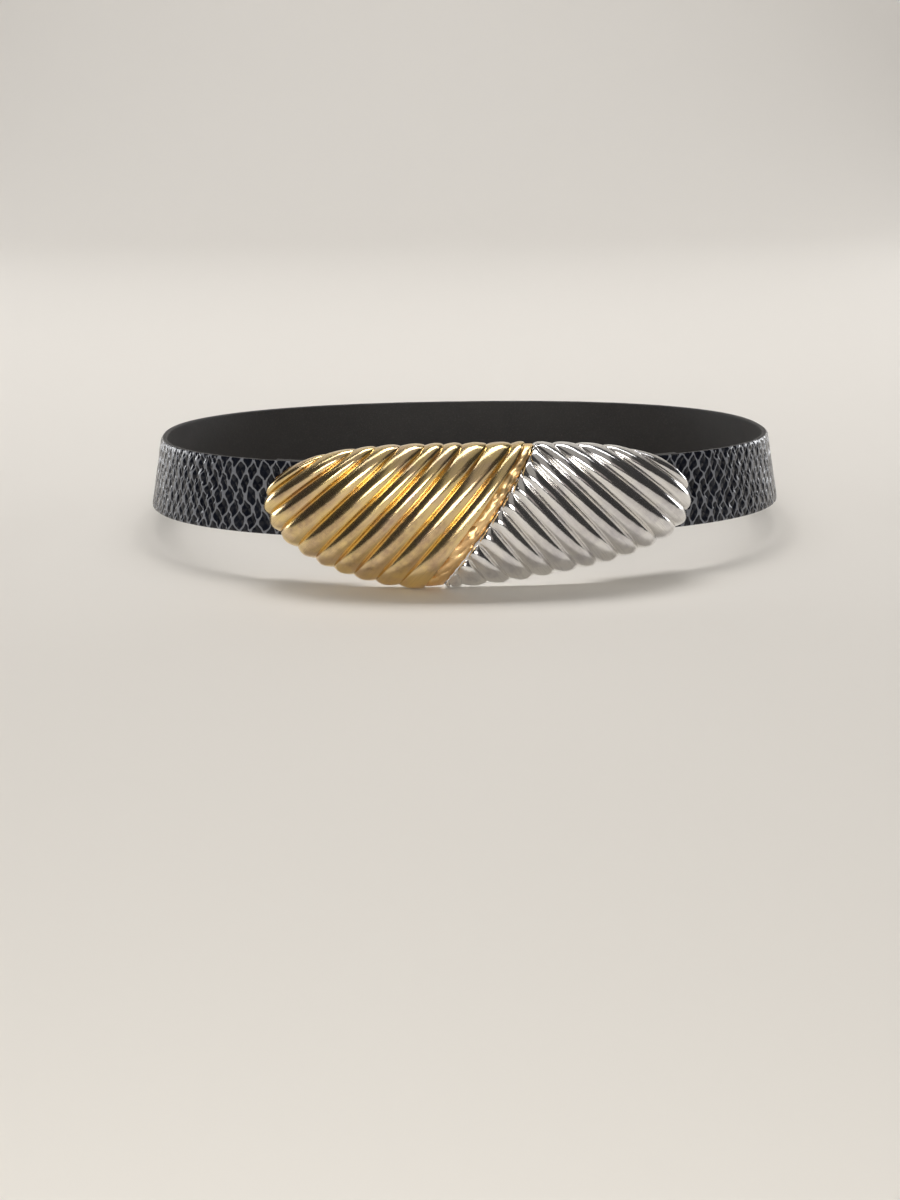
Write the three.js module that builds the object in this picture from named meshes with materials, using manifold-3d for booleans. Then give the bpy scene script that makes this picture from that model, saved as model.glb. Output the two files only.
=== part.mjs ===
// A fastened snakeskin belt with a two-part cast buckle, gold on the left and silver on the
// right, standing on its lower edge as a closed loop. Millimetres, +Z up, front towards -Y.
//
// Every piece is laid out in belt coordinates and then bent round the waist loop:
//   s  along the belt from the middle of the front, positive to the right
//   v  up from the strap's centre line
//   h  outwards from the strap's outer face
import * as THREE from "three";
import { mergeVertices } from "three/addons/utils/BufferGeometryUtils.js";
import Module from "manifold-3d";

const wasm = await Module();
wasm.setup();
const { Manifold, Mesh: SolidMesh } = wasm;

// Waist loop: the strap's outer face at mid width, a superellipse seen from above.
const LOOP_HALF_WIDTH = 124;
const LOOP_HALF_DEPTH = 95;
const LOOP_SQUARENESS = 2.3;
// The strap leans outwards at its lower edge over the hips.
const HIP_LEAN = THREE.MathUtils.degToRad(10);

// Strap.
const STRAP_WIDTH = 27;
const STRAP_THICKNESS = 2.4;
const STRAP_STEP = 9; // length of one facet round the loop
const FOLDED_TAIL = 30; // length doubled back behind each bar
const FOLD_RISE = 10; // length over which the strap climbs onto its bar

// Fits.
const GAP = 0.3; // between pieces that meet
const BASE_GAP = 0.4; // from the strap's outer face to the buckle's rim

// Buckle outline over its ribs' rounded ends, made of four arcs from tip to tip.
const BUCKLE_HALF_LENGTH = 78.6; // from the middle of the front to either tip
const BUCKLE_RISE = 21.4; // above the centre line
const BUCKLE_DROP = 31.4; // below the centre line
const TIP_DROP = 1.4; // of both tips below the centre line
const LOWEST_AT = -20; // place of the lowest point along the belt
const TOP_ARC = { along: 3.4, up: 0.47 };
const LOW_LEFT_ARC = { along: 1.72, up: 0.574 };
const LOW_RIGHT_ARC = { along: 1.41, up: 0.386 };

// Buckle castings.
const DOME_HEIGHT = 12.5; // of the valleys over the strap's outer face, at the middle
const RIM_HEIGHT = 2.6; // of the upright side wall
const WALL = 1.5;
const RIB_HEIGHT = 2.1; // of a rib over its valleys
const SCALLOP = 1.1; // how far a rib's end stands out past its valleys
const END_ROUND = 5; // length over which a rib rises from its end
const END_SHARE = 0.35; // of a rib's height that is left at its end
const LIP_WIDTH_TOP = 3.1; // hammered lip along the seam, at its upper end
const LIP_WIDTH_BOTTOM = 5.2;
const LIP_BOW = 0.8; // of the lip's outer edge towards the silver half
const LIP_STEP = 0.5; // of the lip's surface below the valleys
const LIP_CROWN = 0.8; // of the lip's middle over its edges
const SEAM_TOP_AT = 14.6; // place of the seam's upper end along the belt
const SEAM_LOW_AT = -20.7; // and of its lower end
const LEFT_CORNER_AT = -71.5; // place on the upper edge where the gold ribs start
const RIGHT_CORNER_AT = 73; // and where the silver ribs end
const CORNER_WIDTH = 1.6; // of the narrow side of the first and last rib
const FLANGE = 3.2; // depth to which the silver half turns down along the lip
const RIB_STEPS = 4; // facets across one rib
const RIB_FACET = 8.5; // longest facet along a rib

// Valleys between the ribs, in order. foot is the share of the way along the lower ends,
// head is the share of the way along the upper ends.
const GOLD_VALLEYS = [
  { foot: 0.0, head: 0.0 },
  { foot: 0.035, head: 0.04 },
  { foot: 0.125, head: 0.19 },
  { foot: 0.21, head: 0.32 },
  { foot: 0.3, head: 0.405 },
  { foot: 0.405, head: 0.505 },
  { foot: 0.5, head: 0.605 },
  { foot: 0.59, head: 0.68 },
  { foot: 0.685, head: 0.755 },
  { foot: 0.785, head: 0.855 },
  { foot: 0.89, head: 0.955 },
  { foot: 1.0, head: 1.0 },
];
const SILVER_VALLEYS = [
  { foot: 0.0, head: 0.0 },
  { foot: 0.015, head: 0.02 },
  { foot: 0.055, head: 0.06 },
  { foot: 0.135, head: 0.115 },
  { foot: 0.21, head: 0.17 },
  { foot: 0.285, head: 0.24 },
  { foot: 0.355, head: 0.3 },
  { foot: 0.43, head: 0.36 },
  { foot: 0.495, head: 0.415 },
  { foot: 0.57, head: 0.47 },
  { foot: 0.64, head: 0.515 },
  { foot: 0.71, head: 0.575 },
  { foot: 0.79, head: 0.65 },
  { foot: 0.855, head: 0.74 },
  { foot: 0.925, head: 0.835 },
  { foot: 1.0, head: 1.0 },
];

// Bars that the strap's ends are folded round, one soldered inside each half.
const BAR_RADIUS = 1.5;
const BAR_AT = 47; // from the middle of the front
const BAR_SIDES = 12;

// Clasp plate that holds the halves together, on one headed peg of each.
const PLATE_LENGTH = 36;
const PLATE_HEIGHT = 15;
const PLATE_THICKNESS = 1.6;
const PEG_RADIUS = 1.6;
const PEG_HEAD_RADIUS = 3;
const PEG_HEAD = 0.9; // thickness of a peg's head
const PEG_SHOULDER_RADIUS = 2.4;
const PEG_SPREAD = 24; // between the two pegs
const PEGS_AT = { s: 2, v: -4 }; // middle of the clasp
const PEG_SIDES = 16;

const SEARCH_STEPS = 1440;

// Distances along a curve given as a function of a parameter from 0 to 1.
function measured(curve) {
  const points = [];
  const lengths = [0];
  for (let i = 0; i <= SEARCH_STEPS; i++) {
    points.push(curve(i / SEARCH_STEPS));
    if (i > 0) lengths.push(lengths[i - 1] + points[i].distanceTo(points[i - 1]));
  }
  const total = lengths[SEARCH_STEPS];
  const parameter = (length) => {
    let low = 0;
    let high = SEARCH_STEPS;
    while (high - low > 1) {
      const middle = (low + high) >> 1;
      if (lengths[middle] <= length) low = middle;
      else high = middle;
    }
    const part = (length - lengths[low]) / Math.max(lengths[high] - lengths[low], 1e-9);
    return (low + part) / SEARCH_STEPS;
  };
  return { total, parameter };
}

const signedPower = (value, power) => Math.sign(value) * Math.abs(value) ** power;

// The waist loop, once round anticlockwise seen from above, from the middle of the front.
function loopPoint(share) {
  const angle = 2 * Math.PI * share;
  const power = 2 / LOOP_SQUARENESS;
  return new THREE.Vector2(
    LOOP_HALF_WIDTH * signedPower(Math.sin(angle), power),
    -LOOP_HALF_DEPTH * signedPower(Math.cos(angle), power),
  );
}
const loop = measured(loopPoint);

// Belt coordinates to a place round the loop.
function bend(s, v, h) {
  const along = ((s % loop.total) + loop.total) % loop.total;
  const share = loop.parameter(along);
  const place = loopPoint(share);
  const across = new THREE.Vector2(
    signedPower(place.x / LOOP_HALF_WIDTH, LOOP_SQUARENESS - 1) / LOOP_HALF_WIDTH,
    signedPower(place.y / LOOP_HALF_DEPTH, LOOP_SQUARENESS - 1) / LOOP_HALF_DEPTH,
  ).normalize();
  const hip = Math.abs(place.x / LOOP_HALF_WIDTH) ** LOOP_SQUARENESS;
  const out = h - v * Math.tan(HIP_LEAN) * hip;
  return new THREE.Vector3(place.x + across.x * out, place.y + across.y * out, v);
}

// Buckle outline, inset all round, as a turn from 0 at the right tip through 0.25 at the top.
function turnPoint(turn, inset) {
  const angle = 2 * Math.PI * turn;
  const half = BUCKLE_HALF_LENGTH - inset;
  const cos = Math.abs(Math.cos(angle));
  const sin = Math.abs(Math.sin(angle));
  if (Math.sin(angle) >= 0) {
    const s = Math.sign(Math.cos(angle)) * half * cos ** (2 / TOP_ARC.along);
    return new THREE.Vector2(s, -TIP_DROP + (BUCKLE_RISE - inset + TIP_DROP) * sin ** (2 * TOP_ARC.up));
  }
  const left = Math.cos(angle) < 0;
  const arc = left ? LOW_LEFT_ARC : LOW_RIGHT_ARC;
  const reach = left ? -half - LOWEST_AT : half - LOWEST_AT;
  const s = LOWEST_AT + reach * cos ** (2 / arc.along);
  return new THREE.Vector2(s, -TIP_DROP - (BUCKLE_DROP - inset - TIP_DROP) * sin ** (2 * arc.up));
}
const rimCurve = measured((share) => turnPoint(share, SCALLOP));

// The same outline by share of its length.
function outline(share, inset) {
  const wrapped = share - Math.floor(share);
  return turnPoint(rimCurve.parameter(wrapped * rimCurve.total), inset);
}

// Top and bottom of the inset outline at one place along the belt.
function topOf(s, inset) {
  const u = Math.min(1, Math.abs(s) / (BUCKLE_HALF_LENGTH - inset));
  return -TIP_DROP + (BUCKLE_RISE - inset + TIP_DROP) * (1 - u ** TOP_ARC.along) ** TOP_ARC.up;
}
function lowOf(s, inset) {
  const half = BUCKLE_HALF_LENGTH - inset;
  const arc = s < LOWEST_AT ? LOW_LEFT_ARC : LOW_RIGHT_ARC;
  const reach = s < LOWEST_AT ? half + LOWEST_AT : half - LOWEST_AT;
  const u = Math.min(1, Math.abs(s - LOWEST_AT) / reach);
  return -TIP_DROP - (BUCKLE_DROP - inset - TIP_DROP) * (1 - u ** arc.along) ** arc.up;
}

// Height of a smooth dome over the inset outline, from side at its rim to peak at its middle.
function dome(s, v, inset, side, peak) {
  const top = topOf(s, inset);
  const low = lowOf(s, inset);
  const half = Math.max((top - low) / 2, 1e-6);
  const across = Math.min(1, Math.abs((v - (top + low) / 2) / half));
  const along = Math.min(1, Math.abs(s) / (BUCKLE_HALF_LENGTH - inset));
  const round = ((1 - along ** 3) * (1 - across ** 2.2)) ** 0.55;
  return side + (peak - side) * round;
}
const outerDome = (s, v) => dome(s, v, SCALLOP, RIM_HEIGHT, DOME_HEIGHT);
const innerDome = (s, v) => dome(s, v, SCALLOP + WALL, RIM_HEIGHT - WALL, DOME_HEIGHT - WALL);

// Share of the outline at one place along the belt, on its upper or lower side.
function shareAt(s, upper) {
  let low = upper ? 0 : 0.5;
  let high = upper ? 0.5 : 1;
  for (let i = 0; i < 40; i++) {
    const middle = (low + high) / 2;
    const beyond = outline(middle, SCALLOP).x > s;
    if (beyond === upper) low = middle;
    else high = middle;
  }
  return (low + high) / 2;
}
const CORNER = CORNER_WIDTH / 2 / rimCurve.total;
const LEFT_CORNER = shareAt(LEFT_CORNER_AT, true);
const RIGHT_CORNER = shareAt(RIGHT_CORNER_AT, true);
const SEAM_TOP = shareAt(SEAM_TOP_AT, true);
const SEAM_LOW = shareAt(SEAM_LOW_AT, false);

// The seam at the gold ribs' last edge, and the lip's outer edge, from bottom to top.
function seam(share, inset) {
  return outline(SEAM_LOW, inset).lerp(outline(SEAM_TOP, inset), share);
}
function lipEdge(share, clear, inset) {
  const across = seam(1, 0).sub(seam(0, 0)).normalize();
  const out = new THREE.Vector2(across.y, -across.x);
  const bow = LIP_BOW * Math.sin(Math.PI * share);
  const width = THREE.MathUtils.lerp(LIP_WIDTH_BOTTOM, LIP_WIDTH_TOP, share) + bow + clear;
  const place = seam(share, inset).addScaledVector(out, width);
  // The ends follow the outline where the lip's edge leaves the seam's ends behind.
  const low = lowOf(place.x, inset);
  const top = topOf(place.x, inset);
  const end = share < 0.5 ? low : top;
  const pull = (1 - Math.min(1, 10 * Math.min(share, 1 - share))) ** 2;
  place.y = THREE.MathUtils.lerp(place.y, end, pull);
  return place;
}

// One rib's swell between its valleys, u from 0 to 1 across it, a distance in from its end.
function swell(u, distance, open) {
  const shape = Math.sin(Math.PI * u * (open ? 0.72 : 1)) ** 0.7;
  const ease = Math.max(0, 1 - distance / END_ROUND);
  const round = Math.sqrt(1 - ease ** 2);
  return { shape, height: RIB_HEIGHT * shape * (END_SHARE + (1 - END_SHARE) * round) };
}

// Where the lower and upper ends of the ribs lie; lip says that a place is on the lip.
function goldFoot(share, inset) {
  const turn = THREE.MathUtils.lerp(LEFT_CORNER + CORNER, SEAM_LOW, share);
  return { point: outline(turn, inset), lip: false };
}
function goldHead(share, inset) {
  const turn = THREE.MathUtils.lerp(LEFT_CORNER - CORNER, SEAM_TOP, share);
  return { point: outline(turn, inset), lip: false };
}
const lipCurve = measured((share) => lipEdge(share, GAP, SCALLOP));
const LIP_TOP = shareAt(lipEdge(1, GAP, SCALLOP).x, true);
const LIP_LOW = shareAt(lipEdge(0, GAP, SCALLOP).x, false);
const TOP_LENGTH = (LIP_TOP - RIGHT_CORNER - CORNER) * rimCurve.total;
function silverFoot(share, inset) {
  const turn = THREE.MathUtils.lerp(LIP_LOW + CORNER, 1 + RIGHT_CORNER - CORNER, share);
  return { point: outline(turn, inset), lip: false };
}
function silverHead(share, inset) {
  const length = THREE.MathUtils.lerp(CORNER_WIDTH / 2, lipCurve.total + TOP_LENGTH, share);
  if (length < lipCurve.total) {
    const clear = GAP + inset - SCALLOP;
    return { point: lipEdge(lipCurve.parameter(length), clear, inset), lip: true };
  }
  const turn = LIP_TOP - (length - lipCurve.total) / rimCurve.total;
  return { point: outline(turn, inset), lip: false };
}

// Facets along every row, which are longest at its middle.
const ROW_LENGTHS = Math.ceil(((Math.PI / 2) * seam(0, 0).distanceTo(seam(1, 0))) / RIB_FACET);

// Rows of a casting: each row runs from a foot to a head across the dome.
function ribRows(valleys, foot, head, lastOpen) {
  const rows = [];
  for (let rib = 0; rib + 1 < valleys.length; rib++) {
    const first = rib === 0 ? 0 : 1;
    for (let step = first; step <= RIB_STEPS; step++) {
      const u = step / RIB_STEPS;
      const open = lastOpen && rib + 2 === valleys.length;
      const footShare = THREE.MathUtils.lerp(valleys[rib].foot, valleys[rib + 1].foot, u);
      const headShare = THREE.MathUtils.lerp(valleys[rib].head, valleys[rib + 1].head, u);
      const footAt = (inset) => foot(footShare, inset);
      const headAt = (inset) => head(headShare, inset);
      rows.push({ u, open, foot: footAt, head: headAt });
    }
  }
  return rows;
}

// Points of one row over the outside or the inside, from base to base.
function rowPoints(row, inside) {
  const inset = SCALLOP + (inside ? WALL : 0);
  const foot = row.foot(inset);
  const head = row.head(inset);
  const length = foot.point.distanceTo(head.point);
  const tail = foot.point.clone().sub(head.point).normalize();
  const points = [];
  for (let i = 0; i <= ROW_LENGTHS; i++) {
    const t = (1 - Math.cos((Math.PI * i) / ROW_LENGTHS)) / 2;
    const place = row.bowed ? row.bowed(t, inset) : foot.point.clone().lerp(head.point, t);
    const rise = swell(row.u, length * Math.min(t, 1 - t), row.open);
    if (row.lip !== undefined) {
      rise.height = LIP_CROWN * Math.sin(Math.PI * row.lip) - LIP_STEP;
      rise.shape = 0;
    }
    let height;
    if (inside) {
      height = innerDome(place.x, place.y) + 0.4 * rise.height;
    } else {
      height = outerDome(place.x, place.y) + rise.height;
    }
    // Rounded ends stand out past the valleys.
    const out = SCALLOP * rise.shape * (inside ? 0.5 : 1);
    if (i === 0) place.addScaledVector(tail, out);
    if (i === ROW_LENGTHS && !head.lip) place.addScaledVector(tail, -out);
    points.push(new THREE.Vector3(place.x, place.y, Math.max(height, BASE_GAP + 0.5)));
  }
  const start = points[0];
  const end = points[ROW_LENGTHS];
  points.unshift(new THREE.Vector3(start.x, start.y, BASE_GAP));
  const lipDepth = inside ? end.z - FLANGE + WALL : end.z - FLANGE;
  const depth = head.lip ? Math.max(BASE_GAP, lipDepth) : BASE_GAP;
  points.push(new THREE.Vector3(end.x, end.y, depth));
  return points;
}

// A hollow casting in belt coordinates: outer rows, inner rows and the walls between.
// openEnd leaves the last row as an edge of the wall's thickness.
function casting(rows, openEnd) {
  const outer = rows.map((row) => rowPoints(row, false));
  const inner = rows.map((row) => rowPoints(row, true));
  const count = outer[0].length;
  const positions = [];
  for (const row of [...outer, ...inner]) for (const p of row) positions.push(p.x, p.y, p.z);
  const triangles = [];
  const at = (row, column, inside) => (row + (inside ? rows.length : 0)) * count + column;
  const quad = (a, b, c, d) => triangles.push(a, b, c, a, c, d);
  for (let r = 0; r + 1 < rows.length; r++) {
    for (let c = 0; c + 1 < count; c++) {
      quad(at(r, c, false), at(r + 1, c, false), at(r + 1, c + 1, false), at(r, c + 1, false));
      quad(at(r, c + 1, true), at(r + 1, c + 1, true), at(r + 1, c, true), at(r, c, true));
    }
    quad(at(r, 0, true), at(r + 1, 0, true), at(r + 1, 0, false), at(r, 0, false));
    const end = count - 1;
    quad(at(r, end, false), at(r + 1, end, false), at(r + 1, end, true), at(r, end, true));
  }
  const closed = (row, inside, turned) => {
    for (let c = 1; c + 1 < count; c++) {
      const corners = [at(row, 0, inside), at(row, c, inside), at(row, c + 1, inside)];
      if (turned) corners.reverse();
      triangles.push(...corners);
    }
  };
  const last = rows.length - 1;
  closed(0, false, false);
  closed(0, true, true);
  quad(at(0, 0, false), at(0, count - 1, false), at(0, count - 1, true), at(0, 0, true));
  if (openEnd) {
    for (let c = 0; c + 1 < count; c++) {
      quad(at(last, c, false), at(last, c, true), at(last, c + 1, true), at(last, c + 1, false));
    }
  } else {
    closed(last, false, true);
    closed(last, true, false);
    quad(at(last, 0, false), at(last, 0, true), at(last, count - 1, true), at(last, count - 1, false));
  }
  return { positions, triangles };
}

// A closed set of triangles as a solid.
function solid({ positions, triangles }) {
  return new Manifold(
    new SolidMesh({
      numProp: 3,
      vertProperties: new Float32Array(positions),
      triVerts: new Uint32Array(triangles),
    }),
  );
}

// A three.js geometry as a solid.
function solidOf(geometry) {
  geometry.deleteAttribute("normal");
  geometry.deleteAttribute("uv");
  const merged = mergeVertices(geometry, 1e-4);
  return solid({ positions: merged.attributes.position.array, triangles: merged.index.array });
}

// A solid in belt coordinates as a geometry bent round the loop.
function bent(shape) {
  const mesh = shape.getMesh();
  const stride = mesh.numProp;
  const positions = [];
  for (let i = 0; i < mesh.vertProperties.length; i += stride) {
    const place = bend(mesh.vertProperties[i], mesh.vertProperties[i + 1], mesh.vertProperties[i + 2]);
    positions.push(place.x, place.y, place.z);
  }
  const geometry = new THREE.BufferGeometry();
  geometry.setAttribute("position", new THREE.Float32BufferAttribute(positions, 3));
  geometry.setIndex(Array.from(mesh.triVerts));
  geometry.computeVertexNormals();
  return geometry;
}

// A round rod in belt coordinates between two heights, standing on the strap's face.
function stud(s, v, from, to, radius, sides) {
  const rod = new THREE.CylinderGeometry(radius, radius, to - from, sides);
  rod.rotateX(Math.PI / 2);
  rod.translate(s, v, (from + to) / 2);
  return solidOf(rod);
}

// The bar that a strap end is folded round, with a post at each end up into the casting.
const BAR_DEPTH = -STRAP_THICKNESS / 2;
const BAR_REACH = STRAP_WIDTH / 2 + GAP + BAR_RADIUS;
function bar(s) {
  const rod = new THREE.CylinderGeometry(BAR_RADIUS, BAR_RADIUS, 2 * BAR_REACH, BAR_SIDES);
  rod.translate(s, 0, BAR_DEPTH);
  let shape = solidOf(rod);
  for (const v of [-BAR_REACH, BAR_REACH]) {
    const roof = outerDome(s, v) - WALL / 2;
    shape = shape.add(stud(s, v, BAR_DEPTH - BAR_RADIUS, roof, BAR_RADIUS, BAR_SIDES));
  }
  return shape;
}

// A peg of the clasp: head, neck through the plate, and shoulder up into the casting.
const PLATE_BOTTOM = BASE_GAP + PEG_HEAD + GAP;
const PLATE_TOP = PLATE_BOTTOM + PLATE_THICKNESS;
function peg(s) {
  const v = PEGS_AT.v;
  const roof = outerDome(s, v) - WALL / 2;
  const head = stud(s, v, BASE_GAP, BASE_GAP + PEG_HEAD, PEG_HEAD_RADIUS, PEG_SIDES);
  const neck = stud(s, v, BASE_GAP, roof, PEG_RADIUS, PEG_SIDES);
  const shoulder = stud(s, v, PLATE_TOP + GAP, roof, PEG_SHOULDER_RADIUS, PEG_SIDES);
  return head.add(neck).add(shoulder);
}
const PEG_PLACES = [PEGS_AT.s - PEG_SPREAD / 2, PEGS_AT.s + PEG_SPREAD / 2];

function claspPlate() {
  const box = new THREE.BoxGeometry(PLATE_LENGTH, PLATE_HEIGHT, PLATE_THICKNESS, 6, 1, 1);
  box.translate(PEGS_AT.s, PEGS_AT.v, (PLATE_BOTTOM + PLATE_TOP) / 2);
  let plate = solidOf(box);
  for (const s of PEG_PLACES) {
    const from = PLATE_BOTTOM - PLATE_THICKNESS;
    const to = PLATE_TOP + PLATE_THICKNESS;
    const hole = stud(s, PEGS_AT.v, from, to, PEG_RADIUS + GAP, PEG_SIDES);
    plate = plate.subtract(hole);
  }
  return plate;
}

// The strap: one length of leather from tail to tail, seen on edge, at its full width.
function strapCentre() {
  const line = [];
  const turn = BAR_RADIUS + GAP + STRAP_THICKNESS / 2;
  const flat = -STRAP_THICKNESS / 2;
  const under = flat - STRAP_THICKNESS - GAP;
  const tail = BAR_AT + FOLDED_TAIL;
  const end = [];
  for (let i = 0; i <= 3; i++) {
    end.push({ s: tail - (i * (FOLDED_TAIL - FOLD_RISE)) / 3, h: under });
  }
  const bow = (from, to) => {
    for (let i = 1; i < 4; i++) {
      const ease = (1 - Math.cos((Math.PI * i) / 4)) / 2;
      end.push({
        s: THREE.MathUtils.lerp(from.s, to.s, i / 4),
        h: THREE.MathUtils.lerp(from.h, to.h, ease),
      });
    }
  };
  bow({ s: BAR_AT + FOLD_RISE, h: under }, { s: BAR_AT, h: BAR_DEPTH - turn });
  for (let i = 0; i <= 8; i++) {
    const angle = (Math.PI * i) / 8;
    end.push({ s: BAR_AT - turn * Math.sin(angle), h: BAR_DEPTH - turn * Math.cos(angle) });
  }
  bow({ s: BAR_AT, h: BAR_DEPTH + turn }, { s: BAR_AT + FOLD_RISE, h: flat });
  line.push(...end);
  const from = BAR_AT + FOLD_RISE;
  const to = loop.total - from;
  const steps = Math.round((to - from) / STRAP_STEP);
  for (let i = 0; i <= steps; i++) {
    line.push({ s: THREE.MathUtils.lerp(from, to, i / steps), h: flat });
  }
  for (const point of end.reverse()) line.push({ s: loop.total - point.s, h: point.h });
  return line;
}

function strap() {
  const line = strapCentre();
  const positions = [];
  const triangles = [];
  line.forEach((point, i) => {
    const before = line[Math.max(i - 1, 0)];
    const after = line[Math.min(i + 1, line.length - 1)];
    const run = Math.hypot(after.s - before.s, after.h - before.h);
    const side = { s: -(after.h - before.h) / run, h: (after.s - before.s) / run };
    for (const [across, up] of [[1, 1], [-1, 1], [-1, -1], [1, -1]]) {
      const half = (STRAP_THICKNESS / 2) * across;
      positions.push(point.s + side.s * half, (STRAP_WIDTH / 2) * up, point.h + side.h * half);
    }
  });
  const last = line.length - 1;
  for (let i = 0; i < last; i++) {
    for (let k = 0; k < 4; k++) {
      const a = 4 * i + k;
      const b = 4 * i + ((k + 1) % 4);
      triangles.push(a, b + 4, b, a, a + 4, b + 4);
    }
  }
  triangles.push(0, 1, 2, 0, 2, 3);
  triangles.push(4 * last, 4 * last + 2, 4 * last + 1, 4 * last, 4 * last + 3, 4 * last + 2);
  return solid({ positions, triangles });
}

// The gold half: ribs to the seam, then the lip beside it.
function goldHalf() {
  const rows = ribRows(GOLD_VALLEYS, goldFoot, goldHead, true);
  for (const lip of [0.08, 0.5, 1]) {
    const bowed = (share, inset) => seam(share, inset).lerp(lipEdge(share, 0, inset), lip);
    const side = (share) => (inset) => ({ point: bowed(share, inset), lip: false });
    rows.push({ u: 0, open: false, lip, bowed, foot: side(0), head: side(1) });
  }
  return solid(casting(rows, true)).add(bar(-BAR_AT)).add(peg(PEG_PLACES[0]));
}

function silverHalf() {
  const rows = ribRows(SILVER_VALLEYS, silverFoot, silverHead, false);
  return solid(casting(rows, false)).add(bar(BAR_AT)).add(peg(PEG_PLACES[1]));
}

const gold = new THREE.MeshStandardMaterial({ color: 0xd8a84a, roughness: 0.18, metalness: 1 });
const silver = new THREE.MeshStandardMaterial({ color: 0xc9c7c2, roughness: 0.16, metalness: 1 });
const steel = new THREE.MeshStandardMaterial({ color: 0x9a9a98, roughness: 0.35, metalness: 1 });
const leather = new THREE.MeshStandardMaterial({ color: 0x1c1d24, roughness: 0.28, metalness: 0 });

const belt = new THREE.Group();
belt.name = "belt";
// The loop tips back until the buckle's lower ends and the strap's back edge stand level.
const span = 2 * LOOP_HALF_DEPTH + RIM_HEIGHT;
belt.rotation.x = -Math.atan2(BUCKLE_DROP - STRAP_WIDTH / 2, span);

function place(name, shape, material) {
  const mesh = new THREE.Mesh(bent(shape), material);
  mesh.name = name;
  belt.add(mesh);
}
place("gold_half", goldHalf(), gold);
place("silver_half", silverHalf(), silver);
place("clasp_plate", claspPlate(), steel);
place("strap", strap(), leather);

// Origin on the ground under the middle of the belt.
const model = new THREE.Group();
model.add(belt);
model.updateMatrixWorld(true);
const bounds = new THREE.Box3().setFromObject(belt, true);
const centre = bounds.getCenter(new THREE.Vector3());
belt.position.set(-centre.x, -centre.y, -bounds.min.z);

export default model;
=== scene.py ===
"""Snakeskin belt with a gold and silver cast buckle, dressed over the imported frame."""
import math

import bpy
import numpy as np
from mathutils import Matrix, Vector


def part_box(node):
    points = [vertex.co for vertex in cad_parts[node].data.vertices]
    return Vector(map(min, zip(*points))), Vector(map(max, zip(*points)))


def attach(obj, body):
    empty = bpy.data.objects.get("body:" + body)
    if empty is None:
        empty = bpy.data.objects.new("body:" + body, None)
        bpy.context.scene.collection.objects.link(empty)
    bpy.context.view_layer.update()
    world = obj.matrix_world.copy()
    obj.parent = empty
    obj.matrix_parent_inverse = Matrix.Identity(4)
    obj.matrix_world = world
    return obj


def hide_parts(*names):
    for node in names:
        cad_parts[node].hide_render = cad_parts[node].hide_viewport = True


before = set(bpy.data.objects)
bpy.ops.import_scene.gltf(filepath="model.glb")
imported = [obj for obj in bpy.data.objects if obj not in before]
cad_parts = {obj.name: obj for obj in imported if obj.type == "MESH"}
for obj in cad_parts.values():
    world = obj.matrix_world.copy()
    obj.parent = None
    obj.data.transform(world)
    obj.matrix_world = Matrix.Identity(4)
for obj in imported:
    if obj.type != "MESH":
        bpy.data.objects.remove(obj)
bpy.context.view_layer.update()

MM = 0.001

# Sizes in millimetres, as in the part's source.
LOOP_HALF_WIDTH, LOOP_HALF_DEPTH, LOOP_SQUARENESS = 124, 95, 2.3
HIP_LEAN = math.radians(10)
STRAP_WIDTH, STRAP_THICKNESS = 27, 2.4
FOLDED_TAIL, FOLD_RISE = 30, 10
GAP, BASE_GAP = 0.3, 0.4
BUCKLE_HALF_LENGTH, BUCKLE_RISE, BUCKLE_DROP = 78.6, 21.4, 31.4
TIP_DROP, LOWEST_AT = 1.4, -20
TOP_ARC, LOW_LEFT_ARC, LOW_RIGHT_ARC = (3.4, 0.47), (1.72, 0.574), (1.41, 0.386)
DOME_HEIGHT, RIM_HEIGHT, WALL = 12.5, 2.6, 1.5
RIB_HEIGHT, SCALLOP, END_ROUND, END_SHARE = 2.1, 1.1, 5, 0.35
LIP_WIDTH_TOP, LIP_WIDTH_BOTTOM, LIP_BOW, LIP_DROP, LIP_CROWN = 3.1, 5.2, 0.8, 0.5, 0.8
SEAM_TOP_AT, SEAM_LOW_AT = 14.6, -20.7
LEFT_CORNER_AT, RIGHT_CORNER_AT, CORNER_WIDTH = -71.5, 73, 1.6
FLANGE = 3.2
BAR_RADIUS, BAR_AT = 1.5, 47
PLATE_LENGTH, PLATE_HEIGHT, PLATE_THICKNESS = 36, 15, 1.6
PEG_RADIUS, PEG_HEAD_RADIUS, PEG_HEAD, PEG_SHOULDER_RADIUS = 1.6, 3, 0.9, 2.4
PEG_SPREAD, PEGS_AT = 24, (2, -4)
GOLD_VALLEYS = [
    (0, 0), (0.035, 0.04), (0.125, 0.19), (0.21, 0.32), (0.3, 0.405), (0.405, 0.505),
    (0.5, 0.605), (0.59, 0.68), (0.685, 0.755), (0.785, 0.855), (0.89, 0.955), (1, 1),
]
SILVER_VALLEYS = [
    (0, 0), (0.015, 0.02), (0.055, 0.06), (0.135, 0.115), (0.21, 0.17), (0.285, 0.24),
    (0.355, 0.3), (0.43, 0.36), (0.495, 0.415), (0.57, 0.47), (0.64, 0.515),
    (0.71, 0.575), (0.79, 0.65), (0.855, 0.74), (0.925, 0.835), (1, 1),
]

# Powers of the dome's fall along it, across it and in all.
DOME_ALONG, DOME_ACROSS, DOME_FALL = 3, 2.2, 0.55
# How full a rib is across, how much of the last open rib shows, and the length of a rib's nose.
RIB_FULLNESS, OPEN_RIB_SHARE, NOSE_LENGTH = 0.7, 0.72, 1.6
# A rib keeps this share of its rise against the lip, and a shorter rib than this is lower.
LIP_END_SHARE, FULL_RIB_LENGTH = 0.12, 9
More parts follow.
